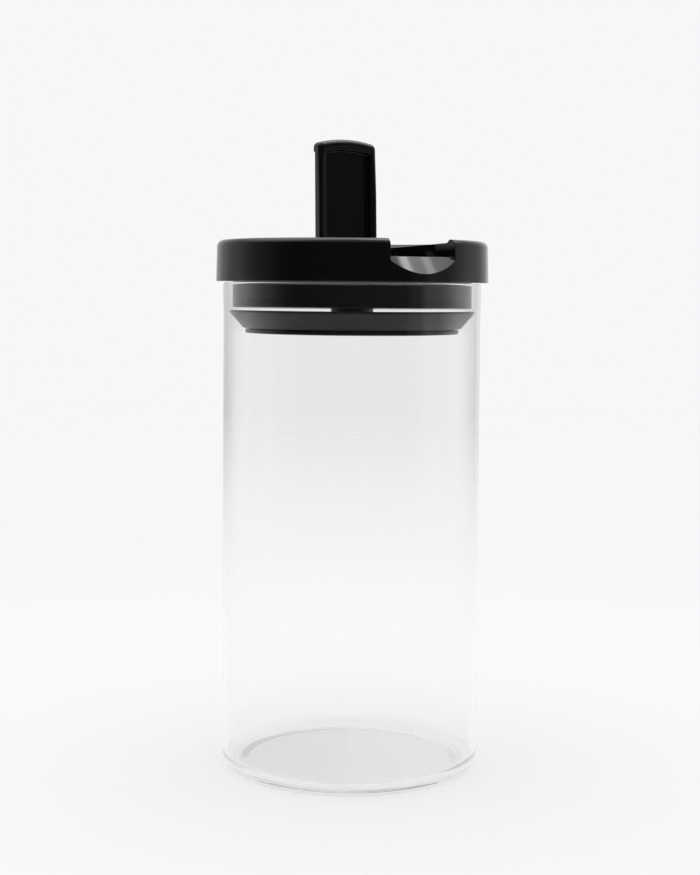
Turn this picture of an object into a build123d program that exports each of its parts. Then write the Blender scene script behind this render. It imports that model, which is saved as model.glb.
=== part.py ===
from build123d import *
import math
import os

# Glass storage jar with a lever-lock airtight lid. Millimetres, +Z up.
# The origin is the centre of the jar's resting face. The lever folds toward -Y.
# The lever stands upright and leans back a little here, which is the open position.

# Overall sizes
total_height = 207.0
lid_radius = 54.0
lid_height = 16.3
lid_z = total_height - lid_height

# Named clearances
rest_gap = 0.3
running_gap = 0.1
pin_gap = 0.05
side_gap = 0.3
location_gap = 0.3
cut_margin = 1.0

# Glass jar
jar_height = lid_z - rest_gap
rim_inset = 2.8
rim_width = 2.2
rim_bead = 0.3
rim_bead_height = 6.0
neck_height = 11.0
jar_taper = 0.5
wall_thickness = 2.1
heel_radius = 5.0
inner_heel_radius = 4.5
floor_thickness = 3.0
foot_width = 2.4
punt_height = 0.8
punt_slope = 3.5
rim_radius = lid_radius - rim_inset
rim_round = rim_width / 2
bore_radius = rim_radius - rim_width
neck_radius = rim_radius - rim_bead
foot_wall_radius = neck_radius - jar_taper
bore_foot_radius = foot_wall_radius - wall_thickness
foot_inner_radius = foot_wall_radius - heel_radius - foot_width
punt_radius = foot_inner_radius - punt_slope

# Lid cap
cap_wall = 2.4
cap_ledge = 1.4
cap_draft = 1.0
crest_round = 2.6
crest_width = 3.7
crest_slope = 1.9
skirt_edge_round = 0.2
deck_drop = 1.25
deck_dish = 1.3
deck_flat_radius = 12.0
deck_thickness = 2.0
cap_inner_radius = lid_radius - cap_wall
cap_upper_inner_radius = cap_inner_radius - cap_ledge
crest_inner_radius = lid_radius - crest_width
deck_radius = crest_inner_radius - crest_slope
deck_edge_z = total_height - deck_drop
deck_z = deck_edge_z - deck_dish

# Lever, measured from its pin while it stands upright
pin_rise = 6.6
pin_z = lid_z + pin_rise
lever_width = 26.5
rest_lean = 1.6
lever_back_y = 6.7
lever_thickness = 4.3
lever_front_y = lever_back_y - lever_thickness
lever_tip_inset = 3.3
lever_tip_radius = lid_radius - lever_tip_inset
lever_blade_start = 4.6
lever_root_z = -1.0
lever_corner_round = 2.3
lever_edge_round = 1.0
lever_back_round = 0.5
tip_lip_width = 3.4
tip_lip_height = 1.1
tip_lip_radius = lever_tip_radius - tip_lip_width
tray_rim = 1.5
tray_end_rim = 2.75
tray_start = 9.5
tray_corner_round = 2.0
tray_band_width = 1.5
tray_band_depth = 0.27
tray_depth = 2.9
tray_inner_corner_round = 0.9
tray_floor_round = 0.5
tray_lean = 4.0
tray_end_radius = lever_tip_radius - tray_end_rim

# Cams, whose reach grows evenly as the lever folds
cam_reach = 5.4
stem_stroke = 1.0
fold_angle = 90.0 + rest_lean
cam_lead = 12.0
cam_steps = 12
cheek_inner_x = 5.1
cheek_outer_x = 9.3
web_top_z = 8.6

# Lever pin
pin_radius = 1.6
pin_inset = 0.4
pin_end_chamfer = 0.25
pin_half_length = cheek_outer_x - pin_inset

# Lever channel and the pocket under the lever's root
channel_gap = 0.9
channel_half = lever_width / 2 + channel_gap
channel_back_gap = 0.7
channel_back_y = lever_back_y + channel_back_gap
channel_rise = 9.6
channel_floor_z = lid_z + channel_rise
tub_wall = 1.8
seat_z = pin_z - cam_reach - pin_gap
pocket_side_gap = 1.0
pocket_half_x = cheek_outer_x + pocket_side_gap
pocket_front_y = -9.0
pocket_floor = 1.8
pocket_underside_z = seat_z - pocket_floor

# Finger scoop below the channel's mouth
scoop_radius = 50.0
scoop_slope = 46.0
scoop_rise = 3.0
scoop_reach = 11.0
scoop_low_z = lid_z + scoop_rise
scoop_back_y = scoop_reach - lid_radius

# Plug collar under the cap
collar_gap = 1.5
collar_radius = bore_radius - collar_gap
collar_wall = 2.2
collar_depth = 9.7
collar_low_z = lid_z - collar_depth
collar_floor = 2.0
collar_floor_z = collar_low_z + collar_floor
collar_edge_round = 0.6
flange_thickness = 2.0
flange_radius = cap_inner_radius - location_gap
guide_wall = 2.0
guide_top_z = pocket_underside_z - rest_gap

# Sealing ring, which stops just below the collar when the lever is folded
ring_gap = 0.4
ring_flare = 5.2
ring_height = 7.5
ring_edge_height = 0.8
ring_slit = 0.4
ring_overhang = 1.0
ring_seat_inset = 1.8
ring_seat_width = 6.6
ring_step_overlap = 1.6
ring_lip_width = 3.6
ring_groove_start = 4.0
ring_groove_lean = 2.0
ring_groove_depth = 3.4
ring_corner_round = 0.3
ring_top_z = collar_low_z - stem_stroke - rest_gap
ring_low_z = ring_top_z - ring_height
ring_bevel_z = ring_top_z - ring_edge_height
ring_top_radius = bore_radius - ring_gap
ring_low_radius = ring_top_radius - ring_flare
plate_radius = ring_low_radius - ring_overhang
ring_seat_radius = plate_radius - ring_seat_inset
ring_bore_radius = ring_seat_radius - ring_seat_width
ring_groove_inner = ring_bore_radius + ring_groove_start
ring_groove_outer = ring_top_radius - ring_lip_width

# Inner plate
plate_thickness = 1.6
plate_low_z = ring_low_z - plate_thickness
plate_edge_round = 0.5
plate_boss_radius = 6.2
plate_boss_height = 3.2
ring_step_height = 2.6
ring_step_wall = 1.6
ring_bore_height = ring_step_height + 2 * rest_gap

# Stem
stem_radius = 8.5
tongue_half_x = cheek_inner_x - side_gap
tongue_half_y = 2.9
web_front_y = tongue_half_y + side_gap + running_gap
spring_room = 6.45
shoulder_z = pocket_underside_z - spring_room
stem_low_z = ring_low_z

# Plate screw
screw_radius = 2.0
screw_head_radius = 4.2
screw_head_height = 2.5
screw_head_gap = 0.2
screw_recess_depth = 3.0
screw_length = 8.1
screw_seat_z = plate_low_z + screw_recess_depth
screw_top_z = screw_seat_z + screw_length
drive_radius = 1.5
drive_depth = 1.4

# Collar screws
collar_screw_x = 27.0
collar_screw_y = 17.0
post_radius = 4.2
pad_height = 1.5
pad_top_z = collar_floor_z + pad_height
small_screw_radius = 1.5
small_head_radius = 2.8
small_head_height = 1.6
small_recess_radius = 3.1
small_recess_depth = 1.9
small_screw_length = 9.8
small_seat_z = collar_low_z + small_recess_depth
small_screw_top_z = small_seat_z + small_screw_length
small_drive_radius = 0.9
small_drive_depth = 0.9

# Return spring
spring_wire_radius = 0.5
spring_coil_radius = 7.1
spring_turns = 3.0
spring_wire_sides = 8


def side_point(point):
    """Place a (radius, height) point in the side view."""
    return (point[0], 0, point[1])


def turned(start, *steps):
    """Spin a closed outline about Z. A step is a point, or a pair of points for an arc."""
    edges = []
    here = start
    for step in (*steps, start):
        if isinstance(step[0], tuple):
            middle, end = step
            arc = (side_point(here), side_point(middle), side_point(end))
            edges.append(Edge.make_three_point_arc(*arc))
            here = end
        else:
            edges.append(Edge.make_line(side_point(here), side_point(step)))
            here = step
    return revolve(make_face(Wire(edges)), Axis.Z)


def block(x_low, x_high, y_low, y_high, z_low, z_high):
    """Make a box from its six limits."""
    size = (x_high - x_low, y_high - y_low, z_high - z_low)
    middle = ((x_low + x_high) / 2, (y_low + y_high) / 2, (z_low + z_high) / 2)
    return Pos(*middle) * Box(*size)


def rod(radius, z_low, z_high, x=0.0, y=0.0):
    """Make an upright cylinder between two heights."""
    return Pos(x, y, (z_low + z_high) / 2) * Cylinder(radius, z_high - z_low)


def on_circle(centre, radius, angle):
    """Give the point at an angle in degrees on a circle in the side view."""
    turn = math.radians(angle)
    return (centre[0] + radius * math.cos(turn), centre[1] + radius * math.sin(turn))


def make_jar():
    """Thin-walled glass with a rounded rim, a soft heel and a raised punt."""
    heel = (foot_wall_radius - heel_radius, heel_radius)
    inner_heel = (bore_foot_radius - inner_heel_radius, floor_thickness + inner_heel_radius)
    rim = (rim_radius - rim_round, jar_height - rim_round)
    return turned(
        (0, punt_height),
        (punt_radius, punt_height),
        (foot_inner_radius, 0),
        (heel[0], 0),
        (on_circle(heel, heel_radius, -45), (foot_wall_radius, heel[1])),
        (neck_radius, jar_height - neck_height),
        (rim_radius, jar_height - rim_bead_height),
        (rim_radius, rim[1]),
        (on_circle(rim, rim_round, 90), (bore_radius, rim[1])),
        (bore_radius, jar_height / 2),
        (bore_foot_radius, inner_heel[1]),
        (on_circle(inner_heel, inner_heel_radius, -45), (inner_heel[0], floor_thickness)),
        (0, floor_thickness),
    )


def screw_places():
    """Give the four collar screw positions."""
    return [
        (side * collar_screw_x, end * collar_screw_y)
        for side in (-1, 1)
        for end in (-1, 1)
    ]


def make_cap():
    """Shell with a raised rim, a dished deck, the lever channel and the finger scoop."""
    shoulder = total_height - crest_round
    lean = (shoulder - lid_z) * math.tan(math.radians(cap_draft))
    side_top = lid_radius - lean
    crest = (side_top - crest_round, shoulder)
    edge = (lid_radius - skirt_edge_round, lid_z + skirt_edge_round)
    ledge_z = lid_z + flange_thickness
    roof_z = deck_z - deck_thickness
    roof_edge_z = deck_edge_z - deck_thickness
    middle_z = deck_z - deck_thickness / 2
    middle_edge_z = deck_edge_z - deck_thickness / 2
    cap = turned(
        (0, deck_z),
        (0, roof_z),
        (deck_flat_radius, roof_z),
        (cap_upper_inner_radius, roof_edge_z),
        (cap_upper_inner_radius, ledge_z),
        (cap_inner_radius, ledge_z),
        (cap_inner_radius, lid_z),
        (edge[0], lid_z),
        (on_circle(edge, skirt_edge_round, -45), (lid_radius, edge[1])),
        (side_top, shoulder),
        (on_circle(crest, crest_round, 45), (crest[0], total_height)),
        (crest_inner_radius, total_height),
        (deck_radius, deck_edge_z),
        (deck_flat_radius, deck_z),
    )
    tub_half = channel_half + tub_wall
    tub_back = channel_back_y + tub_wall
    core = turned(
        (0, pocket_underside_z),
        (cap_inner_radius, pocket_underside_z),
        (cap_inner_radius, middle_edge_z),
        (deck_radius, middle_edge_z),
        (deck_flat_radius, middle_z),
        (0, middle_z),
    )
    tub = block(-tub_half, tub_half, -lid_radius, tub_back, channel_floor_z - tub_wall, deck_edge_z)
    scoop_block = block(-tub_half, tub_half, -lid_radius, scoop_back_y, ledge_z, channel_floor_z)
    pocket_block = block(
        -pocket_half_x - tub_wall,
        pocket_half_x + tub_wall,
        pocket_front_y - tub_wall,
        tub_back,
        pocket_underside_z,
        channel_floor_z,
    )
    cap += (tub + scoop_block + pocket_block) & core
    for x, y in screw_places():
        cap += rod(post_radius, pad_top_z, middle_z, x, y)
    cap -= block(
        -channel_half, channel_half, -2 * lid_radius, channel_back_y, channel_floor_z, total_height + cut_margin
    )
    cap -= block(
        -pocket_half_x, pocket_half_x, pocket_front_y, channel_back_y, seat_z, channel_floor_z + cut_margin
    )
    cap -= block(
        -tongue_half_x - running_gap,
        tongue_half_x + running_gap,
        -tongue_half_y - running_gap,
        tongue_half_y + running_gap,
        pocket_underside_z - cut_margin,
        seat_z + cut_margin,
    )
    cap -= make_scoop()
    for x, y in screw_places():
        cap -= rod(small_screw_radius + pin_gap, pad_top_z - cut_margin, small_screw_top_z + cut_margin, x, y)
    return cap


def make_scoop():
    """Tool for the scoop: a leaning cylinder whose low line rises inward."""
    turn = math.radians(scoop_slope)
    centre_y = -lid_radius - scoop_radius * math.sin(turn)
    centre_z = scoop_low_z + scoop_radius * math.cos(turn)
    lean = Pos(0, centre_y, centre_z) * Rot(scoop_slope - 90, 0, 0)
    tool = lean * Cylinder(scoop_radius, 4 * lid_radius)
    limit = block(
        -channel_half, channel_half, -2 * lid_radius, scoop_back_y, lid_z, channel_floor_z + running_gap
    )
    return tool & limit


def cam_point(angle):
    """Point where a flat seat touches the cam when the lever is this far from upright."""
    turn = math.radians(angle)
    rate = stem_stroke / math.radians(fold_angle)
    reach = cam_reach + rate * (turn + math.radians(rest_lean))
    y = -reach * math.sin(turn) - rate * math.cos(turn)
    z = -reach * math.cos(turn) + rate * math.sin(turn)
    return (0, y, z)


def make_cheek(x_low, x_high):
    """One cam cheek with its web up to the blade, placed about the pin at the origin."""
    span = fold_angle + 2 * cam_lead
    first = -rest_lean - cam_lead
    points = [cam_point(first + step * span / cam_steps) for step in range(cam_steps + 1)]
    cam = Edge.make_spline([Vector(*point) for point in points])
    start = points[0]
    end = points[-1]
    root = (0, lever_back_y, lever_root_z)
    top_back = (0, lever_back_y, web_top_z)
    top_front = (0, lever_front_y, web_top_z)
    outline = Wire([
        cam,
        Edge.make_line(end, top_front),
        Edge.make_line(top_front, top_back),
        Edge.make_line(top_back, root),
        Edge.make_line(root, start),
    ])
    cheek = extrude(make_face(outline), x_high - x_low, dir=(1, 0, 0))
    cheek = Pos(x_low, 0, 0) * cheek
    bore = Rot(0, 90, 0) * Cylinder(pin_radius + pin_gap, 6 * cheek_outer_x)
    return cheek - bore


def blade_outline(half_width, low_z, tip_radius, round_radius):
    """Face in the XZ plane with an arched top, used for the lever's blade."""
    corner_z = math.sqrt(tip_radius ** 2 - half_width ** 2)
    wire = Wire([
        Edge.make_line((-half_width, 0, low_z), (half_width, 0, low_z)),
        Edge.make_line((half_width, 0, low_z), (half_width, 0, corner_z)),
        Edge.make_three_point_arc(
            (half_width, 0, corner_z), (0, 0, tip_radius), (-half_width, 0, corner_z)
        ),
        Edge.make_line((-half_width, 0, corner_z), (-half_width, 0, low_z)),
    ])
    face = make_face(wire)
    corners = face.vertices().sort_by(Axis.Z)[2:]
    return fillet(corners, round_radius)


def make_lever():
    """Blade with a banded tray below, a lip at the tip and two cam cheeks at the root."""
    half = lever_width / 2
    outline = blade_outline(half, lever_blade_start, lever_tip_radius, lever_corner_round)
    blade = Pos(0, lever_front_y, 0) * extrude(outline, lever_thickness, dir=(0, 1, 0))
    lip = Pos(0, lever_back_y, 0) * extrude(outline, tip_lip_height, dir=(0, 1, 0))
    lip -= Rot(90, 0, 0) * Cylinder(tip_lip_radius, 8 * lever_thickness)
    lever = blade + lip
    lever = fillet(lever.edges().filter_by(outer_front_edge), lever_edge_round)
    lever = fillet(lever.edges().filter_by(outer_back_edge), lever_back_round)
    rim_face = blade_outline(half - tray_rim, tray_start, tray_end_radius, tray_corner_round)
    inner_face = blade_outline(
        half - tray_rim - tray_band_width,
        tray_start + tray_band_width,
        tray_end_radius - tray_band_width,
        tray_inner_corner_round,
    )
    tray = extrude(inner_face, tray_depth, dir=(0, 1, 0), taper=tray_lean)
    tray = fillet(tray.faces().sort_by(Axis.Y)[-1].edges(), tray_floor_round)
    band = loft([rim_face, Pos(0, tray_band_depth, 0) * inner_face], ruled=True)
    lever -= Pos(0, lever_front_y, 0) * band
    lever -= Pos(0, lever_front_y, 0) * tray
    web = block(
        -cheek_outer_x, cheek_outer_x, web_front_y, lever_back_y, lever_root_z, lever_blade_start
    )
    lever += web
    for side in (-1, 1):
        x_low = min(side * cheek_inner_x, side * cheek_outer_x)
        lever += make_cheek(x_low, x_low + cheek_outer_x - cheek_inner_x)
    return Pos(0, 0, pin_z) * Rot(-rest_lean, 0, 0) * lever


def outer_edge(edge):
    """Pick the blade's long outer edges and those round its tip."""
    middle = edge.position_at(0.5)
    upright = abs(edge.tangent_at(0.5).Y) < 0.1
    on_side = abs(abs(middle.X) - lever_width / 2) < 0.01 and abs(edge.tangent_at(0.5).Z) > 0.9
    on_corner = middle.Z > tip_lip_radius - lever_width / 2 and abs(middle.X) > cheek_outer_x
    on_tip = math.hypot(middle.X, middle.Z) > lever_tip_radius - 0.01
    return upright and (on_side or on_corner or on_tip)


def outer_front_edge(edge):
    """Pick the outer edges of the blade's front face."""
    return outer_edge(edge) and abs(edge.position_at(0.5).Y - lever_front_y) < 0.01


def outer_back_edge(edge):
    """Pick the outer edges of the lip and the blade's back face."""
    return outer_edge(edge) and edge.position_at(0.5).Y > lever_back_y - 0.01


def make_pin():
    """Steel pin through the cheeks and the stem's tongue."""
    pin = Rot(0, 90, 0) * Cylinder(pin_radius, 2 * pin_half_length)
    pin = chamfer(pin.edges().filter_by(GeomType.CIRCLE), pin_end_chamfer)
    return Pos(0, 0, pin_z) * pin


def make_stem():
    """Round stem with a flat tongue on top that carries the lever pin."""
    stem = rod(stem_radius, stem_low_z, shoulder_z)
    stem += block(
        -tongue_half_x, tongue_half_x, -tongue_half_y, tongue_half_y, shoulder_z, pin_z
    )
    stem += Pos(0, 0, pin_z) * Rot(0, 90, 0) * Cylinder(tongue_half_y, 2 * tongue_half_x)
    stem -= Pos(0, 0, pin_z) * Rot(0, 90, 0) * Cylinder(pin_radius + pin_gap, 4 * tongue_half_x)
    socket_top = stem_low_z + plate_boss_height + rest_gap
    stem -= rod(plate_boss_radius + running_gap, stem_low_z - cut_margin, socket_top)
    stem -= rod(screw_radius + pin_gap, stem_low_z, screw_top_z + cut_margin)
    return stem


def make_plate():
    """Thin disc with a boss for the stem and a step that centres the sealing ring."""
    plate = rod(plate_radius, plate_low_z, stem_low_z)
    plate = fillet(plate.edges().filter_by(GeomType.CIRCLE), plate_edge_round)
    step_outer = ring_bore_radius - running_gap
    step = rod(step_outer, stem_low_z, stem_low_z + ring_step_height)
    plate += step - rod(step_outer - ring_step_wall, plate_low_z, stem_low_z + 2 * ring_step_height)
    plate += rod(plate_boss_radius, stem_low_z, stem_low_z + plate_boss_height)
    plate -= rod(screw_head_radius + screw_head_gap, plate_low_z - cut_margin, plate_low_z + screw_recess_depth)
    plate -= rod(screw_radius + pin_gap, plate_low_z, stem_low_z + 2 * plate_boss_height)
    return plate


def make_ring():
    """Flared sealing ring, flat on top, with a soft groove and a raised outer lip."""
    slit_z = ring_low_z + ring_slit
    corner = (ring_low_radius - ring_corner_round, slit_z + ring_corner_round)
    bore_top = ring_low_z + ring_bore_height
    inner_wall = ring_bore_radius - ring_step_overlap
    groove_z = slit_z + ring_groove_depth
    return turned(
        (ring_bore_radius, ring_low_z),
        (ring_seat_radius, ring_low_z),
        (ring_seat_radius, slit_z),
        (corner[0], slit_z),
        (on_circle(corner, ring_corner_round, -45), (ring_low_radius, corner[1])),
        (ring_top_radius, ring_bevel_z),
        (ring_top_radius, ring_top_z),
        (ring_groove_outer, ring_top_z),
        (ring_groove_inner + ring_groove_lean, groove_z),
        (ring_groove_inner, groove_z),
        (ring_groove_inner, ring_top_z),
        (inner_wall, ring_top_z),
        (inner_wall, bore_top),
        (ring_bore_radius, bore_top),
    )


def make_collar():
    """Cup under the cap with a flange over the glass rim and a guide for the stem."""
    flange_top = lid_z + flange_thickness
    inner = collar_radius - collar_wall
    edge = (collar_radius - collar_edge_round, collar_low_z + collar_edge_round)
    collar = turned(
        (0, collar_low_z),
        (edge[0], collar_low_z),
        (on_circle(edge, collar_edge_round, -45), (collar_radius, edge[1])),
        (collar_radius, lid_z),
        (flange_radius, lid_z),
        (flange_radius, flange_top),
        (inner, flange_top),
        (inner, collar_floor_z),
        (0, collar_floor_z),
    )
    bore = stem_radius + running_gap
    collar += rod(bore + guide_wall, collar_low_z, guide_top_z)
    for x, y in screw_places():
        collar += rod(post_radius, collar_floor_z, pad_top_z, x, y)
    collar -= rod(bore, collar_low_z - cut_margin, guide_top_z + cut_margin)
    for x, y in screw_places():
        collar -= rod(small_recess_radius, collar_low_z - cut_margin, collar_low_z + small_recess_depth, x, y)
        collar -= rod(small_screw_radius + pin_gap, collar_low_z, pad_top_z + cut_margin, x, y)
    return collar


def make_screw(place, seat, shank, head, drive):
    """Screw driven upward, its head under a seat. Pairs are (radius, length)."""
    x, y = place
    low = seat - head[1]
    screw = rod(shank[0], seat, seat + shank[1], x, y) + rod(head[0], low, seat, x, y)
    return screw - Pos(x, y, low) * extrude(RegularPolygon(drive[0], 6), drive[1])


def make_plate_screw():
    """The screw that holds the inner plate to the stem."""
    head = (screw_head_radius, screw_head_height)
    drive = (drive_radius, drive_depth)
    return make_screw((0, 0), screw_seat_z, (screw_radius, screw_length), head, drive)


def make_collar_screws():
    """The four small screws that hold the collar to the cap."""
    shank = (small_screw_radius, small_screw_length)
    head = (small_head_radius, small_head_height)
    drive = (small_drive_radius, small_drive_depth)
    screws = [make_screw(place, small_seat_z, shank, head, drive) for place in screw_places()]
    return Compound(screws)


def make_spring():
    """Compression spring between the pocket floor and the stem's shoulder, its wire many-sided."""
    low = shoulder_z + spring_wire_radius + running_gap
    high = pocket_underside_z - spring_wire_radius - running_gap
    height = high - low
    path = Helix(height / spring_turns, height, spring_coil_radius)
    profile = Plane(path @ 0, z_dir=path % 0) * RegularPolygon(spring_wire_radius, spring_wire_sides)
    return Pos(0, 0, low) * sweep(profile, path=path, is_frenet=True)


def main():
    """Build every node and write one STEP file for each."""
    nodes = {
        "glass_jar": make_jar(),
        "lid_cap": make_cap(),
        "plug_collar": make_collar(),
        "collar_screws": make_collar_screws(),
        "lever": make_lever(),
        "lever_pin": make_pin(),
        "stem": make_stem(),
        "return_spring": make_spring(),
        "inner_plate": make_plate(),
        "plate_screw": make_plate_screw(),
        "sealing_ring": make_ring(),
    }
    os.makedirs("parts", exist_ok=True)
    for name, shape in nodes.items():
        shape.label = name
        export_step(shape, f"parts/{name}.step")


main()
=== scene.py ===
"""Looks for the glass canister with a lever-lock lid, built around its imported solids."""

import logging
import math
from dataclasses import dataclass
from enum import Enum
from typing import Iterable, Sequence

import bmesh
import bpy
from mathutils import Matrix, Vector

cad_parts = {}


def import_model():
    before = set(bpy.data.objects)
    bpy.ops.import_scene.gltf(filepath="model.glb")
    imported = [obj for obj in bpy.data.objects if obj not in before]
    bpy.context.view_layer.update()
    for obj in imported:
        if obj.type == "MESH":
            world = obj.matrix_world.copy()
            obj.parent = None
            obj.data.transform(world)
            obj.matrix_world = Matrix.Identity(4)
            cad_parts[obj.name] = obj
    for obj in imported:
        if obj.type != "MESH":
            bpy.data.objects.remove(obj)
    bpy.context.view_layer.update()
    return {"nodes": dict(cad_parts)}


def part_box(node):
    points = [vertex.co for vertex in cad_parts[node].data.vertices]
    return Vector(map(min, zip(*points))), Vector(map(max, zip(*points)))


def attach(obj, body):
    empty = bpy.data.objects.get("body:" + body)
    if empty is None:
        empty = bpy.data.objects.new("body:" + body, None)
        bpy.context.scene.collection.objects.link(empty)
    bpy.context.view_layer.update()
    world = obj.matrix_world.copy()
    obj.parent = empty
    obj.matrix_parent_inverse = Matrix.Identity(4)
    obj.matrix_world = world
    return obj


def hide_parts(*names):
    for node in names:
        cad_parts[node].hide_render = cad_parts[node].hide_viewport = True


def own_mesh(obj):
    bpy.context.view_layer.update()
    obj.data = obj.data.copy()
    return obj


MM = 0.001
TURN_STEPS = 256
SHARP_ANGLE = math.radians(32)
MERGE_DISTANCE = 1e-7  # metres
CLOSE = 1e-6  # metres
NOISE_RANGE = (0.3, 0.7)

# Each stands a flat outline up, with its thickness from front to back or from side to side
UPRIGHT = Matrix(((1, 0, 0, 0), (0, 0, 1, 0), (0, 1, 0, 0), (0, 0, 0, 1)))
ACROSS = Matrix(((0, 0, 1, 0), (1, 0, 0, 0), (0, 1, 0, 0), (0, 0, 0, 1)))

Point = tuple[float, float]
Colour = tuple[float, float, float]
Mesh = bmesh.types.BMesh
Edge = bmesh.types.BMEdge
Node = bpy.types.Node
Socket = bpy.types.NodeSocket

log = logging.getLogger("canister")


class Body(Enum):
    """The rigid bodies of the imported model."""

    JAR = "jar"
    LID = "lid"
    PLUNGER = "plunger"
    LEVER = "lever"


class Slot(Enum):
    """The record's material slots."""

    GLASS = "glass"
    BLACK = "gloss_black"
    SILICONE = "silicone"
    STEEL = "steel"


class Cut(Enum):
    """What a tool does to a solid."""

    AWAY = "DIFFERENCE"
    ONTO = "UNION"
    WITHIN = "INTERSECT"


# Mesh helpers


def arc(centre: Point, radius: float, start: float, end: float, steps: int) -> list[Point]:
    """Points along an arc.

    Args:
        centre: Middle of the circle, in mm.
        radius: Its radius, in mm.
        start: First angle in degrees.
        end: Last angle in degrees.
        steps: How many equal parts the arc has.

    Returns:
        The points from start to end, both included.
    """
    turns = [math.radians(start + (end - start) * i / steps) for i in range(steps + 1)]
    return [(centre[0] + radius * math.cos(t), centre[1] + radius * math.sin(t)) for t in turns]


def to_object(bm: Mesh, name: str) -> bpy.types.Object:
    """Close, turn outward and smooth a mesh, and put it in the scene.

    Args:
        bm: The mesh, which is freed. Its seams stay sharp.
        name: The piece's name.

    Returns:
        The new object, at the origin.
    """
    bmesh.ops.remove_doubles(bm, verts=bm.verts, dist=MERGE_DISTANCE)
    bmesh.ops.recalc_face_normals(bm, faces=bm.faces)
    for face in bm.faces:
        face.smooth = True
    mesh = bpy.data.meshes.new(name)
    bm.to_mesh(mesh)
    bm.free()
    mesh.set_sharp_from_angle(angle=SHARP_ANGLE)
    for edge in mesh.edges:
        edge.use_edge_sharp = edge.use_edge_sharp or edge.use_seam
    piece = bpy.data.objects.new(name, mesh)
    bpy.context.scene.collection.objects.link(piece)
    return piece


def spin(outline: Sequence[Point], low_z: float = 0.0, steps: int = TURN_STEPS) -> Mesh:
    """Spin a closed outline about Z.

    Args:
        outline: Points of (radius, height) in mm.
        low_z: Height in mm that the outline is measured from.
        steps: Segments in the full turn.

    Returns:
        The spun mesh, in metres.
    """
    bm = bmesh.new()
    verts = [bm.verts.new((r * MM, 0, (z + low_z) * MM)) for r, z in outline]
    edges = [bm.edges.new(pair) for pair in zip(verts, verts[1:] + verts[:1])]
    bmesh.ops.spin(
        bm, geom=verts + edges, cent=(0, 0, 0), axis=(0, 0, 1), angle=math.tau,
        steps=steps, use_merge=True,
    )
    return bm


def slab(
    outline: Sequence[Point], low: float, high: float, to_world: Matrix,
    far: Sequence[Point] | None = None,
) -> Mesh:
    """Make a solid between two flat outlines.

    Args:
        outline: Points of the first face in the flat, in mm.
        low: Height of the first face, in mm.
        high: Height of the second face, in mm.
        to_world: Turns and places the solid, in mm.
        far: Points of the second face, if it isn't the same as the first.

    Returns:
        The solid, in metres.
    """
    bm = bmesh.new()
    first = bm.faces.new([bm.verts.new((x, y, low)) for x, y in outline])
    second = bm.faces.new([bm.verts.new((x, y, high)) for x, y in far or outline])
    bmesh.ops.bridge_loops(bm, edges=[*first.edges, *second.edges])
    bmesh.ops.transform(bm, matrix=Matrix.Scale(MM, 4) @ to_world, verts=bm.verts)
    bmesh.ops.recalc_face_normals(bm, faces=bm.faces)
    return bm


def brick(low: Sequence[float], high: Sequence[float], rounding: float = 0.0) -> Mesh:
    """A box between two corners in mm, with its upright edges rounded.

    Args:
        low: Lowest corner.
        high: Highest corner.
        rounding: Radius of the upright edges.

    Returns:
        The box, in metres.
    """
    bm = bmesh.new()
    bmesh.ops.create_cube(bm, size=1)
    size = [b - a for a, b in zip(low, high)]
    middle = [(a + b) / 2 * MM for a, b in zip(low, high)]
    place = Matrix.Translation(middle) @ Matrix.Diagonal([*[s * MM for s in size], 1])
    bmesh.ops.transform(bm, matrix=place, verts=bm.verts)
    if rounding:
        bevel(bm, upright_edges(bm), rounding, 8)
    return bm


def bevel(bm: Mesh, edges: Iterable[Edge], width: float, segments: int, clamp: bool = True) -> None:
    """Round edges.

    Args:
        bm: The mesh.
        edges: The edges to round.
        width: How far the rounding reaches, in mm.
        segments: How many strips it has.
        clamp: Whether short edges limit its width.
    """
    bmesh.ops.bevel(
        bm, geom=list(edges), offset=width * MM, segments=segments, profile=0.5, affect="EDGES",
        material=-1, clamp_overlap=clamp,
    )


def upright_edges(bm: Mesh, least: float = 0.9) -> list[Edge]:
    """Edges whose direction is upright by at least a share of 1."""
    return [e for e in bm.edges if abs((e.verts[0].co - e.verts[1].co).normalized().z) > least]


def sharp_edges(bm: Mesh, least: float = 40.0) -> list[Edge]:
    """Edges whose faces meet at more than an angle in degrees."""
    limit = math.radians(least)
    return [e for e in bm.edges if len(e.link_faces) == 2 and e.calc_face_angle() > limit]


def lies_at(edge: Edge, y: float) -> bool:
    """Whether an edge lies in the plane at a depth in mm."""
    return all(abs(vert.co.y - y * MM) < CLOSE for vert in edge.verts)


def edges_at(bm: Mesh, y: float, least: float = 40.0) -> list[Edge]:
    """Sharp edges that lie in the plane at a depth in mm."""
    return [edge for edge in sharp_edges(bm, least) if lies_at(edge, y)]


def applied(target: bpy.types.Object, *helpers: bpy.types.Object) -> Mesh:
    """Take an object's mesh with its modifiers applied.

    Args:
        target: The object, which is removed.
        helpers: Objects that its modifiers use, which are removed too.

    Returns:
        The mesh.
    """
    result = bmesh.new()
    result.from_object(target, bpy.context.evaluated_depsgraph_get())
    for used in (target, *helpers):
        mesh = used.data
        bpy.data.objects.remove(used)
        bpy.data.meshes.remove(mesh)
    return result


def carve(base: Mesh, tools: Iterable[Mesh], name: str, cut: Cut = Cut.AWAY) -> Mesh:
    """Cut tools out of a solid, or join them to it.

    Args:
        base: The solid, which is freed.
        tools: The tools, which are freed.
        name: Name for the meshes while they are worked on.
        cut: What the tools do.

    Returns:
        The new solid.
    """
    target = to_object(base, name)
    helpers = []
    for number, tool in enumerate(tools):
        helper = to_object(tool, f"{name}_tool_{number}")
        modifier = target.modifiers.new(f"cut_{number}", "BOOLEAN")
        modifier.object = helper
        modifier.operation = cut.value
        modifier.solver = "EXACT"
        helpers.append(helper)
    return applied(target, *helpers)


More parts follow.
